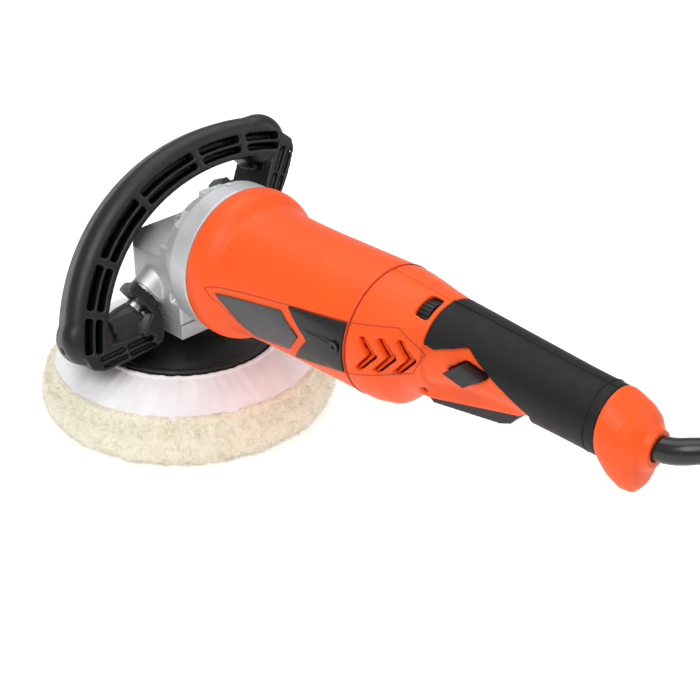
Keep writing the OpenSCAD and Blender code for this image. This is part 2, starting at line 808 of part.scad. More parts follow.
// the section of the arch: flat rear, rounded outside
module arch_section() {
  translate([arch_inner, hoop_front + 12]) square([arch_outer - arch_inner - 10,
    hoop_rear - hoop_front - 12]);
  translate([arch_outer - 12, hoop_front + 12]) square([12, hoop_rear - hoop_front - 22]);
  translate([arch_inner + 12, hoop_front]) square([arch_outer - arch_inner - 24, 14]);
  translate([arch_outer - 10, hoop_rear - 10]) circle(r = 10);
  translate([arch_outer - 12, hoop_front + 12]) circle(r = 12);
  translate([arch_inner + 12, hoop_front + 12]) circle(r = 12);
}

// the rounded corner where the arch runs into a leg
module arch_corner() {
  translate([corner.x, corner.y, 0]) rotate_extrude() intersection() {
    union() {
      translate([0, hoop_front]) square([corner_r - 12, 14]);
      translate([0, hoop_front + 12]) square([corner_r, hoop_rear - hoop_front - 22]);
      translate([0, hoop_rear - 12]) square([corner_r - 10, 12]);
      translate([corner_r - 12, hoop_front + 12]) circle(r = 12);
      translate([corner_r - 10, hoop_rear - 10]) circle(r = 10);
    }
    translate([0, -60]) square([40, 120]);
  }
}

// a leg, its inner face sloping down to the rear
module leg() {
  intersection() {
    translate([0, 0, hoop_front + 2]) linear_extrude(hoop_rear - hoop_front - 2)
      polygon(leg_outline);
    translate([45, -24.3, hoop_rear]) rotate([0, 0, leg_slope]) rotate([23, 0, 0])
      translate([-20, -12.5, -60]) cube([110, 12.5, 90]);
  }
}

module arch_pockets() {
  for (k = [0 : 5]) translate([0, arch_cy, 0]) rotate([0, 0, 90 + rib_angles[k] + 1.1])
    for (g = [[arch_inner + 3.8, 4.2], [arch_inner + 10.2, 5]])
    translate([0, 0, hoop_rear - pocket_h])
    rotate_extrude(angle = rib_angles[k + 1] - rib_angles[k] - 2.2)
    translate([g[0], 0]) square([g[1], pocket_h + 1]);
}

module leg_pockets() {
  for (x = [4, 25]) for (g = [[-12.2, 2.6], [-7.6, 3.2]]) translate([57, -18.6, hoop_rear - 3.6])
    rotate([0, 0, leg_slope - 3]) translate([x - (x > 10 ? 2 : 0), g[0] + 3, 0])
    cube([18, g[1], 10]);
}

module hoop_handle() {
  color("#202224") in_hoop() difference() {
    union() {
      translate([0, arch_cy, 0]) rotate([0, 0, 90 - arch_end]) rotate_extrude(angle = 2 * arch_end)
        arch_section();
      for (s = [-1, 1]) mirror([s > 0 ? 0 : 1, 0, 0]) {
        arch_corner();
        leg();
        translate([lug_in, 0, 0]) rotate([0, 90, 0]) cylinder(h = lug_out - lug_in, r = lug_r);
        translate([lug_in, 0, -12]) cube([lug_out - lug_in, 13, 26]);
        translate([0, 0, -3]) linear_extrude(17) polygon(web_outline);
      }
    }
    arch_pockets();
    translate([-80, 0, 0]) rotate([0, 90, 0]) cylinder(h = 160, r = bolt_r + 0.06);
    for (s = [-1, 1]) mirror([s > 0 ? 0 : 1, 0, 0]) {
      leg_pockets();
      translate([lug_out, 0, 0]) rotate([0, 90, 0]) cylinder(h = 12, r = 6.8);
      translate([corner.x, corner.y, -6]) rotate([0, 0, 20]) rotate([0, 90, 0])
        translate([0, 0, 12]) cylinder(h = 10, r = 2.4);
    }
  }
}

module handle_bolts() {
  color("#3c3c3c") for (side = [-1, 1]) on_tilt_axis(side) difference() {
    union() {
      translate([0, 0, 36.4]) cylinder(h = lug_out + 1 - 36.4, r = bolt_r);
      translate([0, 0, lug_out + free_gap]) cylinder(h = 4.6, r = 6);
    }
    translate([0, 0, lug_out + 2.4]) cylinder(h = 10, r = 3.2, $fn = 6);
  }
}

module handle_washers() {
  color("gray") for (side = [-1, 1]) on_tilt_axis(side) translate([0, 0, boss_end]) difference() {
    union() {
      cylinder(h = 1, r = 12);
      for (i = [0 : 23]) rotate(i * 15) translate([6, -0.6, 0.5]) cube([5.6, 1.2, 0.9]);
    }
    translate([0, 0, -1]) cylinder(h = 4, r = bolt_r);
  }
}

wool_bonnet();
bonnet_skirt();
drawstring();
foam_pad();
backing_plate();
hub_nut();
spindle();
spindle_bearing();
spindle_bush();
crown_gear();
bearing_plate();
bearing_plate_screws();
gear_case();
gear_case_screws();
spindle_lock_button();
spindle_lock_spring();
pinion();
armature_shaft();
armature_core();
armature_winding();
commutator();
fan();
front_bearing();
rear_bearing();
bearing_bridge();
air_baffle();
stator_core();
field_coils();
motor_housing();
brush_holders();
carbon_brushes();
brush_springs();
brush_covers();
brush_cover_screws();
side_plates();
rear_housing_left();
rear_housing_right();
soft_grip();
housing_screws();
trigger();
trigger_pin();
trigger_spring();
switch_body();
lock_on_button();
lock_on_spring();
speed_dial();
speed_board();
tail_cap();
cord_clamp();
cord_guard();
cord();
cord_coil();
cord_end();
plug();
plug_pins();
hoop_handle();
handle_bolts();
handle_washers();
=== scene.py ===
"""A rotary polisher with a hoop handle, a wool bonnet and a mains lead.

Metres, in the CAD frame: +Z up along the spindle, +X towards the tail, the pad's face at the origin.
"""

import json
import math
import random

import bpy
from mathutils import Matrix, Vector, noise

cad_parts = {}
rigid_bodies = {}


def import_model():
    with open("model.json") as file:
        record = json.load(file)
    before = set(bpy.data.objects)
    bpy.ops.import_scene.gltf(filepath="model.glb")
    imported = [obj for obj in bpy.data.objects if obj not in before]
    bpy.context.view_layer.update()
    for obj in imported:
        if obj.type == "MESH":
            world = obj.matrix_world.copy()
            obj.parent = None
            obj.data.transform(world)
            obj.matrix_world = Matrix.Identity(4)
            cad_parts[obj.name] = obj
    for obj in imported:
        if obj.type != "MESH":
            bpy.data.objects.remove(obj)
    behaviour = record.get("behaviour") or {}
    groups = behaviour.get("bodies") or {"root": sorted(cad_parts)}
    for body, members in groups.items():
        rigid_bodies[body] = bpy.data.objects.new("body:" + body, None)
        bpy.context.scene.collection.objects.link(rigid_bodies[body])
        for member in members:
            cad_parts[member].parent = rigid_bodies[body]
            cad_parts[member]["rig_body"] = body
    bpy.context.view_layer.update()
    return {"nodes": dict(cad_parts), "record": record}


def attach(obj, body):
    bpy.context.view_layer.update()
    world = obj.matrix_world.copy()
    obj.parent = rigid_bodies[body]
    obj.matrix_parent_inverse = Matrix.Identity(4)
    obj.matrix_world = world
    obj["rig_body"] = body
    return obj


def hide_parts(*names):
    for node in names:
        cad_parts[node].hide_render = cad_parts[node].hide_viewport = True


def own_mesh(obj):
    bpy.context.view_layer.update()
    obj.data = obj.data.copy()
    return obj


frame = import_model()
nodes = frame["nodes"]
MM = 0.001
MOTOR_HEIGHT = 124


# ---------------------------------------------------------------- camera and light

def place_camera():
    back = Vector((0.6157, -0.6146, 0.4932)).normalized()
    right = Vector((0, 0, 1)).cross(back).normalized()
    up = back.cross(right)
    data = bpy.data.cameras.new("camera")
    data.lens = 72
    data.sensor_width = 36
    data.clip_start, data.clip_end = 0.01, 20
    camera = bpy.data.objects.new("camera", data)
    bpy.context.scene.collection.objects.link(camera)
    turn = Matrix((right, up, back)).transposed().to_4x4()
    camera.matrix_world = Matrix.Translation((0.6782, -0.5182, 0.5125)) @ turn
    bpy.context.scene.camera = camera


def area_light(name, place, target, size, power):
    data = bpy.data.lights.new(name, "AREA")
    data.shape, data.size, data.energy = "DISK", size, power
    light = bpy.data.objects.new(name, data)
    bpy.context.scene.collection.objects.link(light)
    light.location = place
    aim = Vector(target) - Vector(place)
    light.rotation_euler = aim.to_track_quat("-Z", "Y").to_euler()


place_camera()
bpy.context.scene.view_settings.view_transform = "Standard"
area_light("key", (0.5, -0.9, 1.3), (0.1, 0, 0.08), 1.1, 11.5)
area_light("fill", (1.1, 0.7, 0.9), (0.15, 0, 0.1), 1.2, 5)
area_light("top", (-0.3, 0.2, 1.5), (0.1, 0, 0.05), 1.4, 8)
world = bpy.data.worlds.new("studio")
bpy.context.scene.world = world
world.use_nodes = True
world.node_tree.nodes["Background"].inputs[0].default_value = (1, 1, 1, 1)
world.node_tree.nodes["Background"].inputs[1].default_value = 0.5


# ---------------------------------------------------------------- material kit

class Shader:
    """A Principled material with helpers for the node trees that feed it."""

    def __init__(self, name, **sockets):
        self.material = bpy.data.materials.new(name)
        self.material.use_nodes = True
        self.tree = self.material.node_tree
        self.bsdf = self.tree.nodes["Principled BSDF"]
        for key, value in sockets.items():
            self.bsdf.inputs[key.replace("_", " ")].default_value = value
        self.coords = self.tree.nodes.new("ShaderNodeTexCoord").outputs["Object"]
        self.normal = None

    def node(self, kind, **inputs):
        made = self.tree.nodes.new("ShaderNode" + kind)
        for key, value in inputs.items():
            socket = made.inputs[key.replace("_", " ")]
            if isinstance(value, bpy.types.NodeSocket):
                self.tree.links.new(value, socket)
            else:
                socket.default_value = value
        return made

    def noise(self, scale, detail=4.0, roughness=0.55, coords=None):
        return self.node("TexNoise", Vector=coords or self.coords, Scale=scale, Detail=detail,
                         Roughness=roughness).outputs["Fac"]

    def ramp(self, value, *stops):
        made = self.node("ValToRGB", Fac=value)
        ramp = made.color_ramp
        while len(ramp.elements) < len(stops):
            ramp.elements.new(0.5)
        for element, (place, colour) in zip(ramp.elements, stops):
            element.position = place
            element.color = (*colour, 1) if isinstance(colour, tuple) else (colour,) * 3 + (1,)
        return made.outputs["Color"]

    def range(self, value, low, high, start=0.3, end=0.7):
        made = self.node("MapRange", Value=value)
        for key, number in (("From Min", start), ("From Max", end), ("To Min", low), ("To Max", high)):
            made.inputs[key].default_value = number
        return made.outputs["Result"]

    def stretched(self, x, y, z):
        made = self.node("Mapping", Vector=self.coords)
        made.inputs["Scale"].default_value = (x, y, z)
        return made.outputs["Vector"]

    def bump(self, height, strength, distance):
        made = self.node("Bump", Height=height, Strength=strength, Distance=distance)
        if self.normal is not None:
            self.tree.links.new(self.normal, made.inputs["Normal"])
        self.normal = made.outputs["Normal"]
        self.tree.links.new(self.normal, self.bsdf.inputs["Normal"])

    def feed(self, socket, value):
        self.tree.links.new(value, self.bsdf.inputs[socket])


def moulded(name, colour, rough, grain=1400, depth=0.00006, spread=0.06, coat=0.0, gloss=0.5):
    """Injection-moulded plastic: a fine spark-eroded grain, and faint flow marks in the gloss."""
    s = Shader(name, Roughness=rough, Coat_Weight=coat, Coat_Roughness=0.3, Specular_IOR_Level=gloss)
    flow = s.noise(22, 3)
    dark, light = (tuple(c * k for c in colour) for k in (0.93, 1.05))
    s.feed("Base Color", s.ramp(flow, (0.35, dark), (0.65, light)))
    s.feed("Roughness", s.range(s.noise(160, 5), rough - spread, rough + spread))
    s.bump(s.noise(grain, 2, 0.6), 0.35, depth)
    return s.material


def metal(name, colour, rough, stretch=(1, 1, 1), scale=600, metallic=1.0, depth=0.00004):
    """Machined or drawn metal: fine marks along one direction and a varied polish."""
    s = Shader(name, Metallic=metallic, Roughness=rough)
    marks = s.noise(scale, 5, 0.6, s.stretched(*stretch))
    s.feed("Base Color", s.ramp(marks, (0.3, tuple(c * 0.86 for c in colour)), (0.7, colour)))
    s.feed("Roughness", s.range(marks, rough * 0.8, rough * 1.3))
    s.bump(marks, 0.3, depth)
    return s.material


def cast_metal():
    s = Shader("cast_aluminium_look", Metallic=0.55, Roughness=0.42)
    grain = s.noise(900, 6, 0.65)
    cloud = s.noise(35, 4)
    s.feed("Base Color", s.ramp(cloud, (0.3, (0.50, 0.51, 0.52)), (0.7, (0.62, 0.63, 0.64))))
    s.feed("Roughness", s.range(grain, 0.34, 0.52))
    s.bump(grain, 0.5, 0.00012)
    s.bump(cloud, 0.15, 0.0003)
    return s.material


def fleece():
    s = Shader("lambswool_look", Roughness=0.95, Sheen_Weight=0.6, Sheen_Roughness=0.5)
    curl = s.noise(420, 6, 0.7)
    tuft = s.noise(75, 5, 0.6)
    tone = s.node("Mix", Factor=0.5)
    tone.data_type = "RGBA"
    s.tree.links.new(s.ramp(tuft, (0.25, (0.74, 0.66, 0.44)), (0.5, (0.90, 0.85, 0.66)),
                            (0.8, (0.95, 0.91, 0.78))), tone.inputs["A"])
    s.tree.links.new(s.ramp(curl, (0.3, (0.80, 0.73, 0.53)), (0.6, (0.95, 0.92, 0.78))),
                     tone.inputs["B"])
    s.feed("Base Color", tone.outputs["Result"])
    s.bump(curl, 0.8, 0.0012)
    return s.material


def cotton():
    s = Shader("cotton_look", Roughness=0.9, Sheen_Weight=0.25, Sheen_Roughness=0.6)
    weave = s.node("TexVoronoi", Vector=s.coords, Scale=1500.0).outputs["Distance"]
    cloud = s.noise(60, 4)
    s.feed("Base Color", s.ramp(cloud, (0.3, (0.80, 0.80, 0.82)), (0.7, (0.90, 0.90, 0.91))))
    s.bump(weave, 0.25, 0.0001)
    return s.material


def foam():
    s = Shader("foam_look", Roughness=0.95)
    cells = s.node("TexVoronoi", Vector=s.coords, Scale=700.0).outputs["Distance"]
    s.feed("Base Color", s.ramp(cells, (0.0, 0.03), (0.6, 0.10)))
    s.bump(cells, 0.6, 0.0004)
    return s.material


ORANGE = (0.88, 0.090, 0.005)
LOOKS = {
    "orange_plastic": moulded("orange_plastic_look", ORANGE, 0.46, coat=0.04, gloss=0.32),
    # groove_black: near black and matt for the grip groove and the grip's part line, painted shade in
    # these grooves
    "groove_black": moulded("groove_painted_shade_look", (0.002, 0.002, 0.002), 0.8),
    # seam: darker orange for the stripe outlines and the housing seam, painted shade in these grooves
    # and the joint
    "seam": moulded("seam_painted_shade_look", (0.42, 0.038, 0.004), 0.6),
    "black_plastic": moulded("black_plastic_look", (0.008, 0.008, 0.0085), 0.40, gloss=0.42),
    "dark_plate": moulded("dark_plate_look", (0.052, 0.054, 0.057), 0.38, grain=900),
    "black_rubber": moulded("black_rubber_look", (0.009, 0.009, 0.009), 0.46, grain=700),
    "soft_grip": moulded("soft_grip_look", (0.006, 0.006, 0.0065), 0.55, grain=1800, depth=0.0001,
                         gloss=0.28),
    "cable_sheath": moulded("cable_sheath_look", (0.010, 0.010, 0.011), 0.24, grain=300, depth=0.00004),
    "white_plastic": moulded("white_plastic_look", (0.78, 0.76, 0.70), 0.4),
    "circuit_board": moulded("circuit_board_look", (0.02, 0.12, 0.05), 0.35),
    "carbon": moulded("carbon_look", (0.02, 0.02, 0.02), 0.6),
    "steel": metal("steel_look", (0.45, 0.45, 0.46), 0.36),
    "bright_steel": metal("bright_steel_look", (0.60, 0.60, 0.61), 0.22, (1, 8, 8)),
    "spring_steel": metal("spring_steel_look", (0.48, 0.48, 0.50), 0.3, (1, 1, 10)),
    "gear_steel": metal("gear_steel_look", (0.30, 0.31, 0.33), 0.34),
    "bronze": metal("bronze_look", (0.55, 0.36, 0.15), 0.42),
    "laminations": metal("laminations_look", (0.30, 0.30, 0.31), 0.45, (30, 1, 1)),
    "copper": metal("copper_look", (0.62, 0.24, 0.09), 0.35, (20, 1, 1), 900),
    "brass": metal("brass_look", (0.70, 0.50, 0.20), 0.3),
    "cast_aluminium": cast_metal(),
    "wool_fleece": fleece(),
    "cotton": cotton(),
    "foam": foam(),
}
slot_of = {s["node"]: s["material_slot"] for s in frame["record"]["subparts"]}
for name, node in nodes.items():
    node.data.materials.clear()
    node.data.materials.append(LOOKS[slot_of[name]])


# ---------------------------------------------------------------- mesh kit

def mesh_piece(name, points, faces, look, body, replaces=(), smooth=True):
    """A new piece from points in millimetres."""
    mesh = bpy.data.meshes.new(name)
    mesh.from_pydata([Vector(p) * MM for p in points], [], faces)
    return finish_piece(bpy.data.objects.new(name, mesh), look, body, replaces, smooth)


def finish_piece(piece, look, body, replaces=(), smooth=True):
    if piece.name not in bpy.context.scene.collection.objects:
        bpy.context.scene.collection.objects.link(piece)
    piece.data.materials.clear()
    piece.data.materials.append(LOOKS[look])
    if piece.type == "MESH":
        piece.data.shade_smooth() if smooth else piece.data.shade_flat()
    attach(piece, body)
    if replaces:
        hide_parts(*replaces)
    return piece


def grid_faces(rows, columns, closed=True):
    """Quads between rows of points; each row's ends join when closed."""
    last = columns if closed else columns - 1
    return [(i * columns + k, i * columns + (k + 1) % columns,
             (i + 1) * columns + (k + 1) % columns, (i + 1) * columns + k)
            for i in range(rows - 1) for k in range(last)]


def baked(piece):
    """The piece with its modifiers applied."""
    graph = bpy.context.evaluated_depsgraph_get()
    mesh = bpy.data.meshes.new_from_object(piece.evaluated_get(graph))
    piece.modifiers.clear()
    piece.data = mesh
    return piece


def moulded_copy(node, voxel, smooth, look=None):
    """A CAD node with the rounded edges and fillets of a moulding or casting."""
    piece = bpy.data.objects.new(node + "_form", nodes[node].data.copy())
    bpy.context.scene.collection.objects.link(piece)
    remesh = piece.modifiers.new("remesh", "REMESH")
    remesh.mode, remesh.voxel_size, remesh.use_smooth_shade = "VOXEL", voxel * MM, True
    relax = piece.modifiers.new("relax", "SMOOTH")
    relax.factor, relax.iterations = 0.5, smooth
    bpy.context.view_layer.update()
    baked(piece)
    return finish_piece(piece, look or slot_of[node], nodes[node]["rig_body"], (node,))


def bevel_node(node, width, angle=35):
    """Small rounded edges on a CAD node that stays as it is."""
    piece = nodes[node]
    weld = piece.modifiers.new("weld", "WELD")
    weld.merge_threshold = 0.00002
    bevel = piece.modifiers.new("bevel", "BEVEL")
    bevel.width, bevel.segments = width * MM, 2
    bevel.limit_method, bevel.angle_limit = "ANGLE", math.radians(angle)
    bevel.harden_normals = False
    return piece


def curve_piece(name, points, radii, look, body, replaces=(), sides=5):
    """A smooth tube through points in millimetres."""
    data = bpy.data.curves.new(name, "CURVE")
    data.dimensions, data.bevel_depth, data.bevel_resolution = "3D", MM, sides
    data.use_fill_caps = True
    spline = data.splines.new("POLY")
    spline.points.add(len(points) - 1)
    for point, place, radius in zip(spline.points, points, radii):
        point.co = (*(Vector(place) * MM), 1)
        point.radius = radius
    spline.use_smooth = True
    piece = bpy.data.objects.new(name, data)
    return finish_piece(piece, look, body, replaces, smooth=False)


def smooth_route(points, steps):
    """Points on a Catmull-Rom line through the given ones."""
    p = [Vector(q) for q in points]
    p = [p[0] * 2 - p[1], *p, p[-1] * 2 - p[-2]]
    line = []
    for a, b, c, d in zip(p, p[1:], p[2:], p[3:]):
        for k in range(steps):
            t = k / steps
            line.append(0.5 * (2 * b + (c - a) * t + (2 * a - 5 * b + 4 * c - d) * t ** 2
                               + (3 * b - a - 3 * c + d) * t ** 3))
    return line + [p[-2]]


def eased(t):
    t = min(max(t, 0.0), 1.0)
    return t * t * (3 - 2 * t)


# ---------------------------------------------------------------- mains lead

CORD_R = 3.75
GUARD = [(356, 0, 127), (371, 0, 127), (383, 0.9, 128.8), (393, 5, 131.5), (402, 13, 133),
         (411, 23, 132.5), (419, 34, 130)]
LEAD = [(419, 34, 130), (430, 50, 124), (440, 66, 112), (449, 80, 95), (457, 92, 76),
        (465, 102, 58), (474, 111, 43), (486, 118, 33), (498, 121.6, 28), (510, 122.4, 26.25)]
COIL_CENTRE = Vector((510, 77, 0))
COIL_OUTER, COIL_INNER, COIL_TURNS, COIL_LAYERS = 45.4, 33.2, 6.25, 4
LEAD_END = [(555.4, 77, 3.75), (556, 70, 3.8), (557.7, 62, 4.2), (559.9, 54, 5.3), (562.1, 46, 6.9),
            (564.3, 38, 8.6), (566.5, 30, 10.1), (568.4, 23, 11.1), (569.4, 18, 11.6), (570, 14, 11.7)]


def coil_line():
    """Four layers, each a flat spiral, wound from the top down: in, out, in and out."""
    line, steps = [], round(24 * COIL_TURNS)
    for i in range(steps + 1):
        turn = COIL_TURNS * i / steps
        stage = turn / (COIL_TURNS / COIL_LAYERS)
        layer = min(int(stage), COIL_LAYERS - 1)
        part = stage - layer
        inward = part if layer % 2 == 0 else 1 - part
        radius = COIL_OUTER + (COIL_INNER - COIL_OUTER) * inward
        step = eased((part - 0.85) / 0.15) if layer < COIL_LAYERS - 1 else 0
        height = CORD_R + 2 * CORD_R * (COIL_LAYERS - 1 - layer - step)
        angle = math.pi / 2 - 2 * math.pi * turn
        line.append(COIL_CENTRE + Vector((radius * math.cos(angle), radius * math.sin(angle), height)))
    return line


def make_tie():
    """A flat strap with rounded corners round one side of the coil."""
    middle, height, steps = (COIL_OUTER + COIL_INNER) / 2, 15.6, 24
    band = []
    for i in range(steps):
        angle = 2 * math.pi * i / steps
        across, up = math.cos(angle), math.sin(angle)
        band.append((10.4 * abs(across) ** 0.25 * math.copysign(1, across),
                     15.0 * abs(up) ** 0.25 * math.copysign(1, up)))
    points = [COIL_CENTRE + Vector((-middle - r * grow, shift, height + 0.3 + z * grow))
              for shift in (-5, 5) for grow in (1, 1 + 0.5 / 12) for r, z in band]
    order = [0, 1, 3, 2, 0]
    faces = [(a * steps + k, a * steps + (k + 1) % steps, b * steps + (k + 1) % steps, b * steps + k)
             for a, b in zip(order, order[1:]) for k in range(steps)]
    return mesh_piece("cord_tie", points, faces, "black_plastic", "machine")


def make_lead():
    guard_line = smooth_route(GUARD, 4)
    last = len(guard_line) - 1
    thickness = [7.0 if i < last * 0.45 else 7.0 - 1.5 * (i / last - 0.45) / 0.55
                 for i in range(last + 1)]
    curve_piece("cord_guard_sleeve", guard_line, thickness, "cable_sheath", "machine",
                ("cord_guard",), 8)
    route = smooth_route(LEAD, 3)[:-1] + coil_line() + smooth_route(LEAD_END, 3)[1:]
    lead = curve_piece("mains_lead", route, [CORD_R] * len(route), "cable_sheath", "machine",
                       ("cord", "cord_coil", "cord_end"), 6)
    tie = make_tie()
    plug = moulded_copy("plug", 0.7, 5)


make_lead()


# ---------------------------------------------------------------- bonnet

def turned_line(line, steps):
    """A (radius, height) outline resampled at even steps, with the outward normal at each point."""
    points = [Vector((r, z)) for r, z in line]
    out = []
    for a, b in zip(points, points[1:]):
        count = max(1, round((b - a).length / steps))
        normal = Vector(((b - a).y, -(b - a).x)).normalized()
        out += [(a + (b - a) * (k / count), normal) for k in range(count)]
    return out + [(points[-1], out[-1][1])]


FIBRE_SEED, FIBRE_COUNT = 41, 11000
GATHERS = 30


def fleece_bulge(angle, r, z):
    """How far the pile stands out, in clumps of several sizes."""
    place = Vector((r * math.cos(angle), r * math.sin(angle), z))
    clump = noise.noise(place * 0.085) * 1.3 + noise.noise(place * 0.21 + Vector((9, 3, 1))) * 0.9
    curl = abs(noise.noise(place * 0.52 + Vector((1, 7, 2)))) * 1.1
    return 0.9 + clump + curl


def make_fleece():
    edge = [(86 + 14 * math.cos(math.radians(a)), 14 + 14 * math.sin(math.radians(a)))
            for a in range(-90, 45, 6)]
    outline = [(2, 0), (40, 0), (70, 0), *edge, (92.5, 32.6), (90, 34.2)]
    rows = [(Vector((2, 0)), Vector((0, -1))), (Vector((45, 0)), Vector((0, -1)))]
    rows += turned_line(outline[2:], 1.5)
    inside = [(86.2, 31), (86.8, 24), (84.6, 16), (40, 15.6), (2, 15.6)]
    rows += [(Vector(p), Vector((0, 0))) for p in inside]
    columns = 420
    points = []
    for place, normal in rows:
        fade = eased((place.x - 72) / 14) if normal.length else 0
        for k in range(columns):
            angle = 2 * math.pi * k / columns
            push = fleece_bulge(angle, place.x, place.y) * fade
            r, z = place.x + normal.x * push, max(place.y + normal.y * push, 0.15)
            points.append((r * math.cos(angle), r * math.sin(angle), z))
    count = len(rows)
    faces = grid_faces(count, columns)
    for row, z in ((0, 0.1), (count - 1, 15.6)):
        points.append((0, 0, z))
        hub = len(points) - 1
        ring = [(row * columns + k, row * columns + (k + 1) % columns) for k in range(columns)]
        faces += [(hub, b, a) if row == 0 else (hub, a, b) for a, b in ring]
    pile = mesh_piece("fleece_pile", points, faces, "wool_fleece", "spindle_group", ("wool_bonnet",))

    # single wool fibres on the edge and shoulder of the pile
    rng = random.Random(FIBRE_SEED)
    shoulder = turned_line(edge[3:] + [(92.5, 32.6), (90.5, 34)], 1.0)
    points, faces = [], []
    for _ in range(FIBRE_COUNT):
        place, normal = rng.choice(shoulder)
        angle = rng.uniform(0, 2 * math.pi)
        swing = noise.noise(Vector((math.cos(angle) * 9, math.sin(angle) * 9, place.y * 0.12)))
        out = Vector((normal.x * math.cos(angle), normal.x * math.sin(angle), normal.y))
        round_ = Vector((-math.sin(angle), math.cos(angle), 0))
        push = fleece_bulge(angle, place.x, place.y)
        base = Vector((place.x * math.cos(angle), place.x * math.sin(angle), place.y))
        base += out * (push - 0.6)
        lean = out + round_ * (swing * 2.2 + rng.uniform(-0.7, 0.7))
        lean += Vector((0, 0, rng.uniform(-0.5, 0.7)))
        lean = lean.normalized() * rng.uniform(2.2, 4.4)
        curl = Vector((rng.uniform(-1, 1), rng.uniform(-1, 1), rng.uniform(-1, 0.6))) * 0.9
        start = len(points)
        for i, thick in enumerate((0.16, 0.13, 0.09, 0.03)):
            t = i / 3
            spot = base + lean * t + curl * (t * t)
            side, up = round_, out.cross(round_)
            for k in range(3):
                a = 2 * math.pi * k / 3
                p = spot + (side * math.cos(a) + up * math.sin(a)) * thick
                points.append((p.x, p.y, max(p.z, 0.1)))
        faces += [(start + 3 * i + k, start + 3 * i + (k + 1) % 3, start + 3 * i + 3 + (k + 1) % 3,
                   start + 3 * i + 3 + k) for i in range(3) for k in range(3)]
    fibres = mesh_piece("fleece_fibres", points, faces, "wool_fleece", "spindle_group")
    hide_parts("wool_bonnet")


def gather(angle, seed):
    """The radial folds of a gathered edge, uneven in size and place."""
    ring = Vector((math.cos(angle), math.sin(angle), 0))
    warp = noise.noise(ring * 3 + Vector((seed, 0, 0))) * 0.5
    size = 0.6 + 0.5 * noise.noise(ring * 5 + Vector((0, seed, 0)))
    fold = math.sin(GATHERS * (angle + warp * 0.22)) * size
    crease = 0.3 * math.sin(71 * angle + 5 * warp)
    return fold + crease + 0.7 * noise.noise(ring * 14 + Vector((seed, 2, 4)))


def make_skirt():
    """The cotton skirt, drawn over the shoulder of the foam and gathered at its hem."""
    profile = smooth_route([(62.6, 46.6, 0), (66, 46.9, 0), (71.5, 45.4, 0), (78, 42.6, 0),
                            (84.5, 39, 0), (89.5, 35.6, 0), (92.2, 32.6, 0)], 6)
    columns = 720
    points = []
    for i, place in enumerate(profile):
        t = i / (len(profile) - 1)
        depth = 1.0 * (1 - eased(t / 0.85)) + 0.28
        for k in range(columns):
            angle = 2 * math.pi * k / columns
            fold = gather(angle, 3.1) * depth
            slack = noise.noise(Vector((math.cos(angle) * 4, math.sin(angle) * 4, t * 2)))
            slack *= 1.1 * math.sin(math.pi * t)
            r, z = place.x + fold * 0.25, place.y + (fold + slack) * 0.62 + 0.2
            points.append((r * math.cos(angle), r * math.sin(angle), z))
    skirt = mesh_piece("cotton_skirt", points, grid_faces(len(profile), columns), "cotton",
                       "spindle_group", ("bonnet_skirt",))
    hem_rows = []
    for j in range(13):
        turn = 2 * math.pi * j / 12
        row = []
        for k in range(columns):
            angle = 2 * math.pi * k / columns
            fold = gather(angle, 3.1)
            r = 63.6 + 1.75 * math.cos(turn) + 0.12 * fold
            z = 47.5 + 1.5 * math.sin(turn) + 0.35 * fold
            row.append((r * math.cos(angle), r * math.sin(angle), z))
        hem_rows += row
    hem = mesh_piece("skirt_hem", hem_rows, grid_faces(13, columns), "cotton", "spindle_group",
                     ("drawstring",))


def make_foam():
    outline = [(14, 15.7), (83.6, 15.7), (85.4, 24), (82, 32.6), (72, 39.4), (60.5, 45.7), (14, 45.7)]
    rows = turned_line(outline, 2.5)
    columns = 180
    points = []
    for place, normal in rows:
        for k in range(columns):
            angle = 2 * math.pi * k / columns
            spot = Vector((place.x * math.cos(angle), place.x * math.sin(angle), place.y))
            push = -0.25 + 0.2 * noise.noise(spot * 0.4)
            r, z = place.x + normal.x * push, place.y + normal.y * push
            points.append((r * math.cos(angle), r * math.sin(angle), z))
    cushion = mesh_piece("foam_cushion", points, grid_faces(len(rows), columns), "foam", "spindle_group",
                         ("foam_pad",))


make_foam()
make_fleece()
make_skirt()


# ---------------------------------------------------------------- mouldings and castings

moulded_copy("hoop_handle", 0.9, 7)
moulded_copy("gear_case", 0.9, 4)
moulded_copy("motor_housing", 1.0, 6)
moulded_copy("rear_housing_left", 0.8, 14)
moulded_copy("rear_housing_right", 0.8, 14)
moulded_copy("soft_grip", 0.6, 10)
moulded_copy("trigger", 0.6, 6)
moulded_copy("lock_on_button", 0.4, 5)
nodes["brush_cover_screws"].data.materials[0] = metal("dark_screw_look", (0.05, 0.05, 0.055), 0.3)
for name in ("tail_cap", "backing_plate", "handle_bolts", "speed_dial", "bearing_plate",
             "brush_covers", "side_plates"):
    bevel_node(name, 0.35)



def pressed_spring(node):
    """A copy of a spring with a mesh of its own."""
    piece = bpy.data.objects.new(node + "_coil", nodes[node].data.copy())
    finish_piece(piece, slot_of[node], nodes[node]["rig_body"], (node,))
    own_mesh(piece)


pressed_spring("spindle_lock_spring")
pressed_spring("trigger_spring")
pressed_spring("lock_on_spring")

BODY_RINGS = [(194, 124, 40, 40, 40), (204, 124, 38.6, 39.4, 40.5), (214, 125, 35.6, 37.4, 39.5),
              (224, 128.5, 31.4, 32.6, 30.5), (236, 132.5, 27, 27.4, 27.5), (262, 135, 23, 23.4, 24),
              (293, 134.8, 20.9, 21, 22), (325, 132.8, 20, 20.2, 20.6), (350, 131.6, 19.6, 19.8, 20.4)]
HOUSING_LINE = [(64, 47.6), (66, 48.8), (68, 49), (74, 49), (79, 47.6), (83, 45), (86, 42.6), (95, 41.2),
                (110, 40.4), (130, 40), (194, 40)]


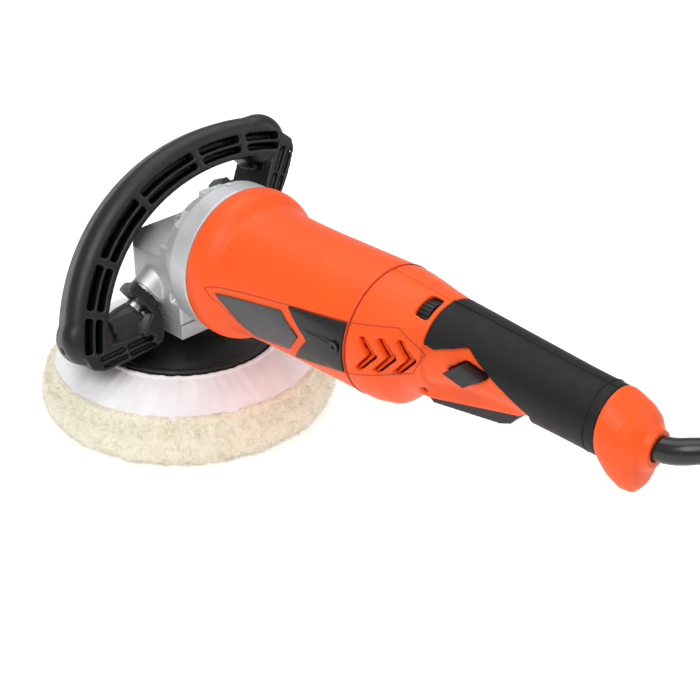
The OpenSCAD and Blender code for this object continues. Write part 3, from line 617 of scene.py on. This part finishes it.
def skin_y(x, z):
    """How far the body's side is from the middle plane at that place."""
    if x < 194:
        for (x0, r0), (x1, r1) in zip(HOUSING_LINE, HOUSING_LINE[1:]):
            if x <= x1:
                r = r0 + (r1 - r0) * (x - x0) / (x1 - x0)
                break
        return math.sqrt(max(r * r - (z - MOTOR_HEIGHT) ** 2, 0))
    for a, b in zip(BODY_RINGS, BODY_RINGS[1:]):
        if x <= b[0]:
            t = (x - a[0]) / (b[0] - a[0])
            _, mid, half, over, under = (p + (q - p) * t for p, q in zip(a, b))
            break
    tall = over if z > mid else under
    return half * math.sqrt(max(1 - ((z - mid) / tall) ** 2, 0))


def between(a, b, t):
    return a[0] + (b[0] - a[0]) * t, a[1] + (b[1] - a[1]) * t


def stepped(corners, count):
    """Points along straight lines between (x, z) corners, count steps to each line."""
    line = [between(a, b, k / count) for a, b in zip(corners, corners[1:]) for k in range(count)]
    return line + [corners[-1]]


def groove(name, outline, side, radius=0.34):
    """A fine groove line on the body's side, through (x, z) points, in darker orange: painted shade of
    the groove.
    """
    line = []
    for a, b in zip(outline, outline[1:]):
        line += stepped((a, b), max(2, round(math.dist(a, b) / 2.5)))[:-1]
    line.append(outline[-1])
    route = [(x, side * (skin_y(x, z) - radius * 0.45), z) for x, z in line]
    curve_piece(name, route, [radius] * len(route), "seam", "machine", sides=2)


SLOT = [(203, 137), (208, 137.6), (217, 128), (207, 117), (202, 116.4), (211, 127.2)]


def louvre(name, shift, side):
    """The slanted wall at the back of an arrow-shaped vent slot."""
    front = stepped((SLOT[0], SLOT[5], SLOT[4]), 6)
    back = stepped((SLOT[1], SLOT[2], SLOT[3]), 6)
    points = []
    for a, b in zip(front, back):
        for part, depth in ((-0.15, 4.6), (0.35, 3.2), (0.62, 1.7), (0.66, 4.6)):
            x, z = between(a, b, part)
            x, z = x + shift[0], z + shift[1]
            points.append((x, side * (skin_y(x, z) - depth), z))
    mesh_piece(name, points, grid_faces(len(front), 4), "orange_plastic", "machine")


def brush_window_rim(name, side):
    """The housing's skin where it shows between the side plate and the brush cover."""
    near = stepped([(141.5, 132), (156, 119.8), (146, 107)], 8)
    far = stepped([(147.5, 136.5), (164.5, 121.4), (148, 101.5)], 8)
    points = []
    for a, b in zip(near, far):
        points += [(x, side * (skin_y(x, z) - 0.3), z) for x, z in stepped((a, b), 4)]
    mesh_piece(name, points, grid_faces(len(near), 5, closed=False), "orange_plastic", "machine")


for side, word in ((-1, "left"), (1, "right")):
    brush_window_rim("brush_window_rim_" + word, side)
    for i in range(3):
        louvre("vent_louvre_%s_%d" % (word, i + 1), (i * 11 - 2.3, i * 1.4), side)
    groove("stripe_top_" + word,
           [(80.6, 127.4), (110, 131.6), (147, 136.6), (193, 142.4), (223, 146.6)], side)
    groove("stripe_bottom_" + word,
           [(148, 100.8), (170, 106), (196, 111.4), (215, 116.6), (234, 122.4)], side)
    groove("stripe_tail_" + word, [(223, 146.6), (242, 137.3), (234, 122.4)], side)
    groove("stripe_nose_" + word, [(80.6, 127.4), (84, 120), (112, 99.4), (144, 105.6)], side)

# the grip groove and the grip's part line as near-black matt tubes: painted shade in the grooves
ring = [(343, 19.75 * math.cos(math.radians(a)), 131.9 + 20 * math.sin(math.radians(a)))
        for a in range(0, 361, 6)]
curve_piece("grip_groove", ring, [0.45] * len(ring), "groove_black", "machine", sides=2)
top = [(x, 0, z) for x, z in ((239, 160.05), (262, 158.45), (293, 155.85), (325, 153.05), (349, 151.5))]
curve_piece("grip_part_line", smooth_route(top, 6), [0.3] * 25, "groove_black", "machine", sides=2)
# the housing seam as a darker orange tube: painted shade in the joint between the housings
seam = [(194.2, 40.05 * math.cos(math.radians(a)), 124 + 40.05 * math.sin(math.radians(a)))
        for a in range(0, 361, 6)]
curve_piece("housing_seam", seam, [0.3] * len(seam), "seam", "machine", sides=2)


# ---------------------------------------------------------------- floor

def make_floor():
    bpy.ops.mesh.primitive_plane_add(size=12)
    floor = bpy.context.object
    floor.name = "floor"
    s = Shader("floor_look", Roughness=0.6, Emission_Color=(1, 1, 1, 1), Emission_Strength=0.34)
    s.feed("Base Color", s.ramp(s.noise(3, 2), (0.3, 0.88), (0.7, 0.90)))
    floor.data.materials.append(s.material)


make_floor()
